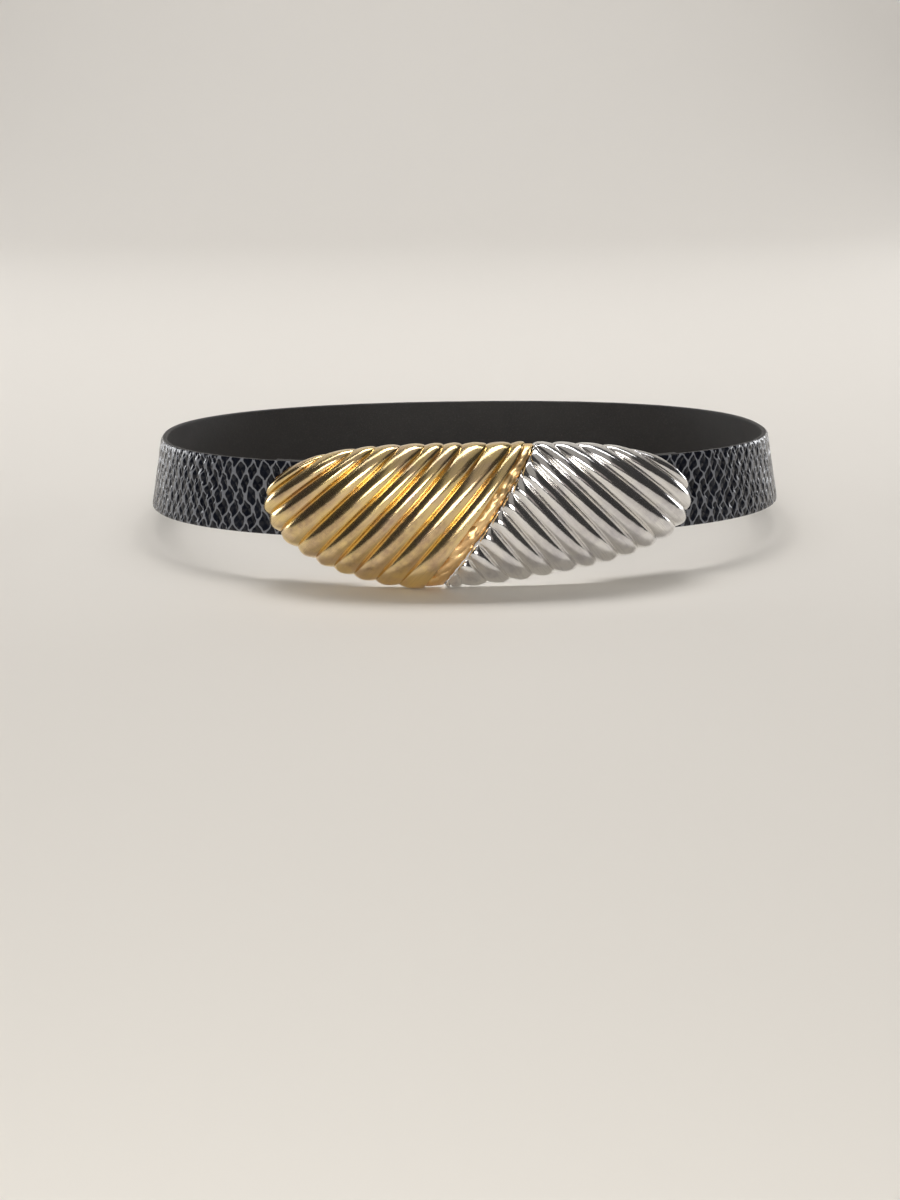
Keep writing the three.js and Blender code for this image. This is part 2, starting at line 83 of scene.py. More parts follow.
# How far from a rib's end its outer and its inner face begin to stand out.
OUTER_REACH, INNER_REACH = 4.0, 1.5
# Shares of the ribs and of their ends that the inner face of a casting follows.
INNER_RIB_SHARE, INNER_END_SHARE = 0.4, 0.5
LEAST_HEIGHT = BASE_GAP + 0.5
# Steps in which the outline and the lip's ends are searched for, and how far about a lip's end.
OUTLINE_STEPS, LIP_END_STEPS, LIP_END_SPAN = 8001, 6001, 0.3

# Detail that only the dressed model has.
ACROSS_RIB, ALONG_RIB, LIP_ROWS = 14, 84, 22
LIP_SHARES = np.concatenate([[0.06], np.linspace(0.14, 0.93, LIP_ROWS), [1.0]])
BEVEL, LEAST_RADIUS, ROD_SIDES, HOLE_SIDES = 0.25, 0.01, 28, 64
CASTING_SHARP_ANGLE, PLATE_SHARP_ANGLE = 38, 30
# Nuggets lie in two lines, at these shares across the lip, this far apart and a little off.
LIP_LENGTH, NUGGET_LINES, NUGGET_PITCH, NUGGET_STAGGER = 60, (0.3, 0.78), 3.1, 1.6
FIRST_NUGGET_AT, NUGGET_JITTER, NUGGET_SIDE_JITTER = 1.0, 0.5, 0.12
NUGGET_SIZES, NUGGET_HEIGHT, NUGGET_LEAN, NUGGET_SEED = (1.9, 2.6), 0.55, 0.16, 4
NUGGET_OVAL, NUGGET_FLATNESS, NUGGET_REACH = 1.15, 2.6, 1.5
HAMMERED_BOTTOM, HAMMERED_FLOOR, HAMMERED_LIFT = -1.0, -0.35, 0.1
# The relief fades out at the lip's outer edge, which is itself a little wavy.
FADE_STEEPNESS, FADE_END = 4, 1.04
EDGE_WAVE, EDGE_WAVES, EDGE_DRIFT, EDGE_DRAWN_IN = 0.14, 17, 9, 0.05
# The pattern coordinates of a casting, which place its streaks.
LIP_PATTERN_AT, SILVER_PATTERN_AT, PATTERN_OVERHANG = 20, 40, 0.03

HALF_WIDTH, HALF_THICKNESS, EDGE_RADIUS = STRAP_WIDTH / 2, STRAP_THICKNESS / 2, 0.7
TAIL_POINTS, RISE_STEPS, TURN_STEPS, RUN_POINTS = 12, 10, 24, 320
CORNER_STEPS, FACE_POINTS, FACE_SHARE = 5, 7, 0.8
SCALE_WIDTH, SCALE_HEIGHT, SCALE_RISE = 5.2, 9.2, 0.34
SCALE_RISE_SHARES, SCALE_SEED = (0.7, 1.15), 7
# A scale's rise is reckoned on a cell this wide: a steep shoulder and a gentle crown.
CELL_SPAN = 3.83
FLANK, CROWN_MARK = 0.30 / CELL_SPAN, 0.2
SHOULDER_START, SHOULDER_LENGTH, SHOULDER_SHARE = 0.25, 0.55, 0.75
CROWN_LENGTH, CROWN_SHARE = 1.9, 0.25
# The strap's body lies lower by this share of a scale's rise, and the skin floats over it.
SUNK_SHARE, SKIN_LIFT, SKIN_MARGIN, SKIN_END = 0.8, 0.05, 0.03, 0.15
SPARE_COLUMNS, SPARE_ROWS = 6, 3
# Waves of the strap's cut edges, and waves that shift the scales along and up. Each is
# given by its height, its slope along, its slope up and its start.
CUT_WAVES = ((0.06, 0.31, 0, 0), (0.04, 1.13, 0, 2))
WARP_ALONG = ((0.45, 0.21, 0.35, 0), (0.30, 0.57, -0.3, 1), (0.22, 1.31, 0.9, 0), (0.16, -0.83, 1.7, 2))
WARP_UP = ((0.40, 0.17, 0, 2), (0.28, 0.49, 0.4, 0), (0.22, 1.07, -0.6, 0), (0.15, 1.9, 0.3, 0))


def power(value, exponent):
    return np.sign(value) * np.abs(value) ** exponent


def mix(a, b, share):
    return a + (b - a) * share


def eased(share):
    """A share that starts and ends slowly."""
    return (1 - np.cos(np.pi * share)) / 2


ALONG = eased(np.linspace(0, 1, ALONG_RIB + 1))


class Curve:
    """A curve from 0 to 1 with its length measured."""

    def __init__(self, point, steps=4000):
        self.steps = np.linspace(0, 1, steps + 1)
        places = point(self.steps)
        runs = np.hypot(*np.diff(places, axis=0).T)
        self.lengths = np.concatenate([[0], np.cumsum(runs)])
        self.total = self.lengths[-1]

    def parameter(self, length):
        return np.interp(length, self.lengths, self.steps)


# Belt coordinates: s along the loop, v up and h out from it.
def loop_point(share):
    angle = 2 * np.pi * np.asarray(share)
    exponent = 2 / LOOP_SQUARENESS
    x = LOOP_HALF_WIDTH * power(np.sin(angle), exponent)
    y = -LOOP_HALF_DEPTH * power(np.cos(angle), exponent)
    return np.stack([x, y], -1)


loop = Curve(loop_point, 20000)


def bend(s, v, h):
    """Belt coordinates bent round the loop, leaning in over the hips."""
    s, v, h = np.broadcast_arrays(np.asarray(s, float), v, h)
    place = loop_point(loop.parameter(np.mod(s, loop.total)))
    x, y = place[..., 0], place[..., 1]
    nx = power(x / LOOP_HALF_WIDTH, LOOP_SQUARENESS - 1) / LOOP_HALF_WIDTH
    ny = power(y / LOOP_HALF_DEPTH, LOOP_SQUARENESS - 1) / LOOP_HALF_DEPTH
    size = np.hypot(nx, ny)
    hip = np.abs(x / LOOP_HALF_WIDTH) ** LOOP_SQUARENESS
    out = h - v * math.tan(HIP_LEAN) * hip
    return np.stack([x + nx / size * out, y + ny / size * out, v], -1)


# The loop is tipped back onto the strap's back edge, and stands where the frame has it.
TIP = -math.atan2(BUCKLE_DROP - STRAP_WIDTH / 2, 2 * LOOP_HALF_DEPTH + RIM_HEIGHT)
turn = np.array([
    [1, 0, 0],
    [0, math.cos(TIP), -math.sin(TIP)],
    [0, math.sin(TIP), math.cos(TIP)],
])
strap_low, strap_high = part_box("strap")
back_edge = turn @ np.array([[0, LOOP_HALF_DEPTH, HALF_WIDTH], [0, LOOP_HALF_DEPTH, -HALF_WIDTH]]).T
shift = np.array([0, strap_high.y / MM - back_edge[1, 0], strap_low.z / MM - back_edge[2, 1]])


def stand(points):
    return (points @ turn.T + shift) * MM


# The buckle's outline and dome, seen flat. An inset draws them in.
def low_arc(left):
    """Powers of the lower outline, left or right of its lowest place."""
    along = np.where(left, LOW_LEFT_ARC[0], LOW_RIGHT_ARC[0])
    up = np.where(left, LOW_LEFT_ARC[1], LOW_RIGHT_ARC[1])
    return along, up


def turn_point(share, inset):
    """A place of the outline, once round from its right tip over the top."""
    angle = 2 * np.pi * np.asarray(share, float)
    half = BUCKLE_HALF_LENGTH - inset
    cos, sin = np.cos(angle), np.sin(angle)
    top_s = np.sign(cos) * half * np.abs(cos) ** (2 / TOP_ARC[0])
    top_v = -TIP_DROP + (BUCKLE_RISE - inset + TIP_DROP) * np.abs(sin) ** (2 * TOP_ARC[1])
    left = cos < 0
    along, up = low_arc(left)
    reach = np.where(left, -half - LOWEST_AT, half - LOWEST_AT)
    low_s = LOWEST_AT + reach * np.abs(cos) ** (2 / along)
    low_v = -TIP_DROP - (BUCKLE_DROP - inset - TIP_DROP) * np.abs(sin) ** (2 * up)
    upper = sin >= 0
    return np.stack([np.where(upper, top_s, low_s), np.where(upper, top_v, low_v)], -1)


rim = Curve(lambda share: turn_point(share, SCALLOP))


def outline(share, inset):
    return turn_point(rim.parameter(np.mod(share, 1) * rim.total), inset)


def top_of(s, inset):
    u = np.minimum(1, np.abs(s) / (BUCKLE_HALF_LENGTH - inset))
    return -TIP_DROP + (BUCKLE_RISE - inset + TIP_DROP) * (1 - u ** TOP_ARC[0]) ** TOP_ARC[1]


def low_of(s, inset):
    half = BUCKLE_HALF_LENGTH - inset
    left = s < LOWEST_AT
    along, up = low_arc(left)
    reach = np.where(left, half + LOWEST_AT, half - LOWEST_AT)
    u = np.minimum(1, np.abs(s - LOWEST_AT) / reach)
    return -TIP_DROP - (BUCKLE_DROP - inset - TIP_DROP) * (1 - u ** along) ** up


def dome(s, v, inset, side, peak):
    top, low = top_of(s, inset), low_of(s, inset)
    half = np.maximum((top - low) / 2, 1e-6)
    across = np.minimum(1, np.abs((v - (top + low) / 2) / half))
    along = np.minimum(1, np.abs(s) / (BUCKLE_HALF_LENGTH - inset))
    return side + (peak - side) * ((1 - along ** DOME_ALONG) * (1 - across ** DOME_ACROSS)) ** DOME_FALL


def outer_dome(s, v):
    return dome(s, v, SCALLOP, RIM_HEIGHT, DOME_HEIGHT)


def inner_dome(s, v):
    return dome(s, v, SCALLOP + WALL, RIM_HEIGHT - WALL, DOME_HEIGHT - WALL)


def share_at(s, upper):
    """Share of the rim at which its upper or lower side passes s."""
    shares = np.linspace(0, 0.5, OUTLINE_STEPS) if upper else np.linspace(0.5, 1, OUTLINE_STEPS)
    places = outline(shares[1:-1], SCALLOP)[:, 0]
    order = np.argsort(places)
    return float(np.interp(s, places[order], shares[1:-1][order]))


CORNER = CORNER_WIDTH / 2 / rim.total
LEFT_CORNER, RIGHT_CORNER = share_at(LEFT_CORNER_AT, True), share_at(RIGHT_CORNER_AT, True)
SEAM_TOP, SEAM_LOW = share_at(SEAM_TOP_AT, True), share_at(SEAM_LOW_AT, False)


def seam(share, inset):
    share = np.asarray(share, float)[..., None]
    return mix(outline(SEAM_LOW, inset), outline(SEAM_TOP, inset), share)


SEAM_WAY = seam(1, 0) - seam(0, 0)
SEAM_WAY = SEAM_WAY / np.hypot(*SEAM_WAY)
OFF_SEAM = np.array([SEAM_WAY[1], -SEAM_WAY[0]])


def beside_seam(share, clear, inset):
    """The lip's outer edge, as far beside the seam as the lip is wide."""
    share = np.asarray(share, float)
    width = mix(LIP_WIDTH_BOTTOM, LIP_WIDTH_TOP, share) + LIP_BOW * np.sin(np.pi * share) + clear
    return seam(share, inset) + OFF_SEAM * width[..., None]


def lip_end(limit, start, clear, inset):
    """Share beside which the lip's edge meets the outline, near the given start."""
    shares = start + np.linspace(-LIP_END_SPAN, LIP_END_SPAN, LIP_END_STEPS)
    place = beside_seam(shares, clear, inset)
    over = place[:, 1] - limit(place[:, 0], inset)
    return float(np.interp(0, over, shares))


def lip_edge(share, clear, inset):
    """The same edge from the outline's lower side to its upper side."""
    ends = lip_end(low_of, 0, clear, inset), lip_end(top_of, 1, clear, inset)
    return beside_seam(mix(ends[0], ends[1], np.asarray(share, float)), clear, inset)


def bowed(share, lip, inset):
    """A place of the lip, at a share along it and a share across it."""
    return mix(seam(share, inset), lip_edge(share, 0, inset), lip)


lip_curve = Curve(lambda share: lip_edge(share, GAP, SCALLOP))
LIP_TOP = share_at(lip_edge(1, GAP, SCALLOP)[0], True)
TOP_LENGTH = (LIP_TOP - RIGHT_CORNER - CORNER) * rim.total


# Where the ribs of each half end, at shares of its lower and of its upper side.
def gold_foot(share, inset):
    return outline(mix(LEFT_CORNER + CORNER, SEAM_LOW, share), inset)


def gold_head(share, inset):
    return outline(mix(LEFT_CORNER - CORNER, SEAM_TOP, share), inset)


def silver_foot(share, inset):
    low = share_at(lip_edge(0, GAP + inset - SCALLOP, inset)[0], False)
    return outline(mix(low + CORNER, 1 + RIGHT_CORNER - CORNER, share), inset)


def silver_head(share, inset):
    """The upper end, which follows the lip's edge first, and whether it still does."""
    length = mix(CORNER_WIDTH / 2, lip_curve.total + TOP_LENGTH, share)
    lip_share = lip_curve.parameter(np.minimum(length, lip_curve.total))
    on_lip = lip_edge(lip_share, GAP + inset - SCALLOP, inset)
    on_top = outline(LIP_TOP - np.maximum(length - lip_curve.total, 0) / rim.total, inset)
    follows = length < lip_curve.total
    return np.where(follows[:, None], on_lip, on_top), follows


def inset_of(inside):
    return SCALLOP + (WALL if inside else 0)


def rib_rows(valleys, last_open):
    """Shares and places across each rib, closer together at the valleys."""
    feet, heads, us, opens, numbers = [], [], [], [], []
    for rib in range(len(valleys) - 1):
        last = rib == len(valleys) - 2
        for step in range(0 if rib == 0 else 1, ACROSS_RIB + 1):
            u = eased(step / ACROSS_RIB)
            feet.append(mix(valleys[rib][0], valleys[rib + 1][0], u))
            heads.append(mix(valleys[rib][1], valleys[rib + 1][1], u))
            us.append(u)
            opens.append(last and last_open)
            numbers.append(rib + u)
    return [np.array(each) for each in (feet, heads, us, opens, numbers)]


def swell(u, distance, is_open, share):
    """Rise of a rib, which ends in a round nose that keeps the given share of it."""
    shape = np.sin(np.pi * u * np.where(is_open, OPEN_RIB_SHARE, 1)).clip(0) ** RIB_FULLNESS
    nose = NOSE_LENGTH * (1 - np.sqrt(np.clip(1 - (2 * u - 1) ** 2, 0, 1)))
    ease = np.clip(1 - (distance - nose) / END_ROUND, 0, 1)
    height = RIB_HEIGHT * shape * (share + (1 - share) * np.sqrt(1 - ease ** 2))
    return shape, height


def casting(foot, head, on_lip, u, is_open, lip, inside, lip_relief=None):
    """Belt coordinates of rows from base to base, as an array of rows by columns."""
    inset = inset_of(inside)
    span = head - foot
    length = np.hypot(*span.T)[:, None]
    place = foot[:, None] + span[:, None] * ALONG[None, :, None]
    s, v = place[..., 0].copy(), place[..., 1].copy()
    kept = np.where((ALONG[None] > 0.5) & on_lip[:, None], LIP_END_SHARE, END_SHARE)
    distance = length * np.minimum(ALONG, 1 - ALONG)
    shape, height = swell(u[:, None], distance, is_open[:, None], kept)
    is_lip = ~np.isnan(lip)
    for row in np.flatnonzero(is_lip):
        s[row], v[row] = bowed(ALONG, lip[row], inset).T
    if is_lip.any():
        crown = LIP_CROWN * np.sin(np.pi * lip[is_lip])[:, None] - LIP_DROP
        height[is_lip] = crown + (0 if lip_relief is None else lip_relief)
        shape = np.where(is_lip[:, None], 0, shape)
    height = height * np.clip(length / FULL_RIB_LENGTH, 0, 1)
    base = inner_dome(s, v) + INNER_RIB_SHARE * height if inside else outer_dome(s, v) + height
    base = np.maximum(base, LEAST_HEIGHT)
    # Rounded ends stand out past the valleys, more and more towards the end.
    tail = (foot - head) / length
    out = SCALLOP * np.broadcast_to(shape, s.shape)[:, :1] * (INNER_END_SHARE if inside else 1)
    reach = INNER_REACH if inside else OUTER_REACH
    at_foot = out * np.clip(1 - length * ALONG / reach, 0, 1) ** 2
    at_head = out * ~on_lip[:, None] * np.clip(1 - length * (1 - ALONG) / reach, 0, 1) ** 2
    s += tail[:, :1] * (at_foot - at_head)
    v += tail[:, 1:] * (at_foot - at_head)
    depth = np.maximum(BASE_GAP, base[:, -1] - FLANGE + (WALL if inside else 0))
    depth = np.where(on_lip, depth, BASE_GAP)
    first = np.stack([s[:, 0], v[:, 0], np.full(len(s), BASE_GAP)], -1)
    last = np.stack([s[:, -1], v[:, -1], depth], -1)
    return np.concatenate([first[:, None], np.stack([s, v, base], -1), last[:, None]], 1)


def shell_faces(rows, columns, open_end):
    """Faces of a casting: its outer and its inner grid, joined along the edges."""
    faces = []

    def at(row, column, inside):
        return (row + (rows if inside else 0)) * columns + column

    for r in range(rows - 1):
        for c in range(columns - 1):
            faces.append((at(r, c, 0), at(r + 1, c, 0), at(r + 1, c + 1, 0), at(r, c + 1, 0)))
            faces.append((at(r, c + 1, 1), at(r + 1, c + 1, 1), at(r + 1, c, 1), at(r, c, 1)))
        faces.append((at(r, 0, 1), at(r + 1, 0, 1), at(r + 1, 0, 0), at(r, 0, 0)))
        c = columns - 1
        faces.append((at(r, c, 0), at(r + 1, c, 0), at(r + 1, c, 1), at(r, c, 1)))
    last, end = rows - 1, columns - 1
    faces.append(tuple(at(0, c, 0) for c in range(columns)))
    faces.append(tuple(at(0, c, 1) for c in reversed(range(columns))))
    faces.append((at(0, 0, 0), at(0, end, 0), at(0, end, 1), at(0, 0, 1)))
    if open_end:
        for c in range(end):
            faces.append((at(last, c, 0), at(last, c, 1), at(last, c + 1, 1), at(last, c + 1, 0)))
    else:
        faces.append(tuple(at(last, c, 0) for c in reversed(range(columns))))
        faces.append(tuple(at(last, c, 1) for c in range(columns)))
        faces.append((at(last, 0, 0), at(last, 0, 1), at(last, end, 1), at(last, end, 0)))
    return faces


def ring_faces(rings, sides, closed=False):
    """Faces between rings of points, and from the last ring to the first if closed."""
    faces = []
    for k in range(rings if closed else rings - 1):
        after = (k + 1) % rings
        for i in range(sides):
            j = (i + 1) % sides
            faces.append((k * sides + i, k * sides + j, after * sides + j, after * sides + i))
    return faces


class Pile:
    """Points in belt coordinates, their faces, pattern coordinates and materials."""

    def __init__(self):
        self.points, self.faces, self.uvs, self.mats = [], [], [], []
        self.count = 0

    def add(self, points, faces, uv=None, mat=0):
        points = np.asarray(points, float).reshape(-1, 3)
        uv = np.zeros((len(points), 2)) if uv is None else np.asarray(uv, float).reshape(-1, 2)
        self.points.append(points)
        self.uvs.append(uv)
        self.faces += [tuple(int(i) + self.count for i in face) for face in faces]
        self.mats += [mat] * len(faces)
        self.count += len(points)

    def build(self, name, materials, sharp_angle=None):
        belt = np.vstack(self.points)
        uv = np.vstack(self.uvs)
        mesh = bpy.data.meshes.new(name)
        mesh.from_pydata(stand(bend(*belt.T)).tolist(), [], self.faces)
        layer = mesh.uv_layers.new(name="pattern")
        corners = np.zeros(len(mesh.loops), np.int32)
        mesh.loops.foreach_get("vertex_index", corners)
        layer.data.foreach_set("uv", uv[corners].astype(np.float32).ravel())
        for material in materials:
            mesh.materials.append(material)
        mesh.polygons.foreach_set("material_index", self.mats)
        mesh.polygons.foreach_set("use_smooth", [True] * len(self.faces))
        if sharp_angle is not None:
            mesh.set_sharp_from_angle(angle=math.radians(sharp_angle))
        mesh.update()
        thing = bpy.data.objects.new(name, mesh)
        bpy.context.scene.collection.objects.link(thing)
        return thing


def rod(pile, start, end, radius):
    """A round rod in belt coordinates with softened ends."""
    start, end = np.array(start, float), np.array(end, float)
    axis = (end - start) / np.linalg.norm(end - start)
    side = np.cross(axis, [0, 0, 1] if abs(axis[2]) < 0.9 else [1, 0, 0])
    side /= np.linalg.norm(side)
    other = np.cross(axis, side)
    rings = [(start, 0), (start, radius - BEVEL), (start + axis * BEVEL, radius)]
    rings += [(end - axis * BEVEL, radius), (end, radius - BEVEL), (end, 0)]
    angle = 2 * np.pi * np.arange(ROD_SIDES) / ROD_SIDES
    ring = np.cos(angle)[:, None] * side + np.sin(angle)[:, None] * other
    points = np.concatenate([centre + ring * max(r, LEAST_RADIUS) for centre, r in rings])
    pile.add(points, ring_faces(len(rings), ROD_SIDES))


def in_wall(s, v):
    """Height in the middle of a casting's wall."""
    return float(outer_dome(np.array(s), np.array(v))) - WALL / 2


def bar(pile, s):
    """The soldered bar for a strap end, with a leg up into the casting at each end."""
    reach = HALF_WIDTH + GAP + BAR_RADIUS
    depth = -HALF_THICKNESS
    rod(pile, (s, -reach, depth), (s, reach, depth), BAR_RADIUS)
    for v in (-reach, reach):
        rod(pile, (s, v, depth - BAR_RADIUS), (s, v, in_wall(s, v)), BAR_RADIUS)


PLATE_BOTTOM = BASE_GAP + PEG_HEAD + GAP
PLATE_TOP = PLATE_BOTTOM + PLATE_THICKNESS
PEG_PLACES = [PEGS_AT[0] - PEG_SPREAD / 2, PEGS_AT[0] + PEG_SPREAD / 2]


def peg(pile, s):
    """A peg through the clasp plate, with a head under it and a shoulder over it."""
    v = PEGS_AT[1]
    roof = in_wall(s, v)
    rod(pile, (s, v, BASE_GAP), (s, v, BASE_GAP + PEG_HEAD), PEG_HEAD_RADIUS)
    rod(pile, (s, v, BASE_GAP), (s, v, roof), PEG_RADIUS)
    rod(pile, (s, v, PLATE_TOP + GAP), (s, v, roof), PEG_SHOULDER_RADIUS)


def hammered(along, across, width):
    """Low rounded nuggets with flat faces, crowded along a band."""
    rng = np.random.default_rng(NUGGET_SEED)
    relief = np.full(np.broadcast(along, across).shape, HAMMERED_BOTTOM)
    for line, share in enumerate(NUGGET_LINES):
        for place in np.arange(FIRST_NUGGET_AT + NUGGET_STAGGER * line, LIP_LENGTH, NUGGET_PITCH):
            dx = along - (place + rng.uniform(-NUGGET_JITTER, NUGGET_JITTER))
            dy = (across - (share + rng.uniform(-NUGGET_SIDE_JITTER, NUGGET_SIDE_JITTER))) * width
            size, lean = rng.uniform(*NUGGET_SIZES), rng.normal(0, NUGGET_LEAN, 2)
            far = np.sqrt(dx ** 2 + (NUGGET_OVAL * dy) ** 2) / size
            cap = NUGGET_HEIGHT * (1 - far ** NUGGET_FLATNESS) + dx * lean[0] + dy * lean[1]
            relief = np.maximum(relief, np.where(far < NUGGET_REACH, cap, HAMMERED_BOTTOM))
    return np.maximum(relief, HAMMERED_FLOOR) + HAMMERED_LIFT


def uv_for(numbers):
    """Pattern coordinates of a casting: the number of the rib, and the share along it."""
    along = np.concatenate([[-PATTERN_OVERHANG], ALONG, [1 + PATTERN_OVERHANG]])
    return np.stack(np.broadcast_arrays(numbers[:, None], along[None, :]), -1)


def gold_half(materials):
    feet, heads, u, is_open, numbers = rib_rows(GOLD_VALLEYS, True)
    lips = LIP_SHARES
    lip = np.concatenate([np.full(len(u), np.nan), lips])
    all_u = np.concatenate([u, np.zeros(len(lips))])
    all_open = np.concatenate([is_open, np.zeros(len(lips), bool)])
    on_lip = np.zeros(len(all_u), bool)
    width = mix(LIP_WIDTH_BOTTOM, LIP_WIDTH_TOP, ALONG)
    relief = hammered(ALONG[None] * LIP_LENGTH, lips[:, None], width[None])
    relief = relief * np.clip(FADE_STEEPNESS * (FADE_END - lips), 0, 1)[:, None]
    # Hammering leaves the lip's outer edge uneven.
    phase = 2 * np.pi * ALONG * EDGE_WAVES + 2 * np.sin(EDGE_DRIFT * ALONG)
    wave = EDGE_WAVE * np.sin(phase) - EDGE_DRAWN_IN
    uneven = (wave * lips[:, None] ** 2)[..., None] * OFF_SEAM
    parts = []
    for inside in (False, True):
        inset = inset_of(inside)
        foot = np.vstack([gold_foot(feet, inset), bowed(0, lips[:, None], inset)])
        head = np.vstack([gold_head(heads, inset), bowed(1, lips[:, None], inset)])
        grid = casting(foot, head, on_lip, all_u, all_open, lip, inside, None if inside else relief)
        grid[len(u):, 1:-1, :2] += uneven
        parts.append(grid)
    pile = Pile()
    rows, columns = parts[0].shape[:2]
    uv = uv_for(np.concatenate([numbers, LIP_PATTERN_AT + lips]))
    pile.add(np.concatenate(parts), shell_faces(rows, columns, True), np.concatenate([uv, uv]))
    first_lip = len(u) * columns
    for k, face in enumerate(pile.faces):
        if max(face) < rows * columns and min(face) >= first_lip:
            pile.mats[k] = 1
    bar(pile, -BAR_AT)
    peg(pile, PEG_PLACES[0])
    return pile.build("gold_casting", materials, CASTING_SHARP_ANGLE)


def silver_half(materials):
    feet, heads, u, is_open, numbers = rib_rows(SILVER_VALLEYS, False)
    no_lip = np.full(len(u), np.nan)
    parts = []
    for inside in (False, True):
        inset = inset_of(inside)
        head, on_lip = silver_head(heads, inset)
        parts.append(casting(silver_foot(feet, inset), head, on_lip, u, is_open, no_lip, inside))
    pile = Pile()
    rows, columns = parts[0].shape[:2]
    uv = uv_for(numbers + SILVER_PATTERN_AT)
    pile.add(np.concatenate(parts), shell_faces(rows, columns, False), np.concatenate([uv, uv]))
    bar(pile, BAR_AT)
    peg(pile, PEG_PLACES[1])
    return pile.build("silver_casting", materials, CASTING_SHARP_ANGLE)


def clasp_plate(materials):
    """A plate with softened edges and a hole over each peg."""
    pile = Pile()
    centre = np.array(PEGS_AT, float)
    half = np.array([PLATE_LENGTH, PLATE_HEIGHT]) / 2
    angle = 2 * np.pi * (np.arange(HOLE_SIDES) + 0.5) / HOLE_SIDES
    ray = np.stack([np.cos(angle), np.sin(angle)], -1)
    hole_radius = PEG_RADIUS + GAP
    bevel_share = 1 - BEVEL / half.min()
    around_hole = [(hole_radius, PLATE_BOTTOM + BEVEL), (hole_radius, PLATE_TOP - BEVEL)]
    around_hole.append((hole_radius + BEVEL, PLATE_TOP))
    around_edge = [(bevel_share, PLATE_TOP), (1, PLATE_TOP - BEVEL)]
    around_edge += [(1, PLATE_BOTTOM + BEVEL), (bevel_share, PLATE_BOTTOM)]
    for sign, peg_at in ((-1, PEG_PLACES[0]), (1, PEG_PLACES[1])):
        # Each half of the plate is a band from the hole to the edge.
        hole = np.array([peg_at, centre[1]])
        lows, highs = centre - half, centre + half
        if sign < 0:
            highs[0] = centre[0]
        else:
            lows[0] = centre[0]
        reach = np.full(HOLE_SIDES, np.inf)
        for axis in (0, 1):
            for limit in (lows, highs):
                with np.errstate(divide="ignore"):
                    far = (limit[axis] - hole[axis]) / ray[:, axis]
                reach = np.where((far > 0) & (far < reach), far, reach)
        edge = hole + ray * reach[:, None]
        on_middle = np.abs(edge[:, 0] - centre[0]) < 1e-6

        def ring(places, depth):
            return np.column_stack([places, np.full(HOLE_SIDES, depth)])

        rings = [ring(hole + ray * radius, depth) for radius, depth in around_hole]
        for share, depth in around_edge:
            pulled = centre + (edge - centre) * share
            pulled[:, 0] = np.where(on_middle, centre[0], pulled[:, 0])
            rings.append(ring(pulled, depth))
        rings.append(ring(hole + ray * (hole_radius + BEVEL), PLATE_BOTTOM))
        pile.add(np.concatenate(rings), ring_faces(len(rings), HOLE_SIDES, True))
    return pile.build("clasp_bridge", materials, PLATE_SHARP_ANGLE)


def strap_centre():
    """Centre line of the strap seen on edge, as (s, h), from tail to tail."""
    flat = -HALF_THICKNESS
    under = flat - STRAP_THICKNESS - GAP
    turn_radius = BAR_RADIUS + GAP + HALF_THICKNESS
    start = BAR_AT + FOLD_RISE
    end = [(s, under) for s in np.linspace(BAR_AT + FOLDED_TAIL, start, TAIL_POINTS)]

    def rise(a, b):
        for k in range(1, RISE_STEPS):
            share = k / RISE_STEPS
            end.append((mix(a[0], b[0], share), mix(a[1], b[1], eased(share))))

    rise((start, under), (BAR_AT, flat - turn_radius))
    for k in range(TURN_STEPS + 1):
        angle = math.pi * k / TURN_STEPS
        end.append((BAR_AT - turn_radius * math.sin(angle), flat - turn_radius * math.cos(angle)))
    rise((BAR_AT, flat + turn_radius), (start, flat))
    run = [(s, flat) for s in np.linspace(start, loop.total - start, RUN_POINTS)]
    back = [(loop.total - s, h) for s, h in reversed(end)]
    return np.array(end + run + back)


def sunk(height):
    """A height on the strap's outer side, lowered to leave room for the scales."""
    return height - SCALE_RISE * (height / HALF_THICKNESS) ** 2 * SUNK_SHARE


def waves(along, up, table):
    return sum(height * np.sin(along * a + up * b + start) for height, a, b, start in table)


def strap_body(pile, line, side, travelled):
    """The strap under its skin: a rounded section swept from tail to tail."""
    up, out = HALF_WIDTH - EDGE_RADIUS, HALF_THICKNESS - EDGE_RADIUS
    section = []
    for cx, cy, start in ((up, out, 0), (-up, out, 90), (-up, -out, 180), (up, -out, 270)):
        for k in range(CORNER_STEPS + 1):
            angle = math.radians(start + 90 / CORNER_STEPS * k)
            section.append((cx + EDGE_RADIUS * math.cos(angle), cy + EDGE_RADIUS * math.sin(angle)))
        if start in (0, 180):
            sign = 1 if start == 0 else -1
            face = np.linspace(FACE_SHARE, -FACE_SHARE, FACE_POINTS) * up * sign
            section += [(x, cy + EDGE_RADIUS * sign) for x in face]
    section = np.array(section)
    t = section[:, 1][None, :]
    t = np.where(t > 0, sunk(t), t)
    # Soft waviness of the cut edge.
    wave = waves(travelled, 0, CUT_WAVES)
    v = section[:, 0][None, :] * (1 + wave[:, None] / STRAP_WIDTH)
    s = line[:, 0][:, None] + side[:, 0][:, None] * t
    h = line[:, 1][:, None] + side[:, 1][:, None] * t
    points = np.stack([s, v, h], -1)
    uv = np.stack(np.broadcast_arrays(travelled[:, None], section[:, 0][None]), -1)
    rings, sides = len(line), len(section)
    faces = [(a, d, c, b) for a, b, c, d in ring_faces(rings, sides)]
    faces.append(tuple(range(sides)))
    faces.append(tuple((rings - 1) * sides + k for k in reversed(range(sides))))
    pile.add(points, faces, uv, mat=1)


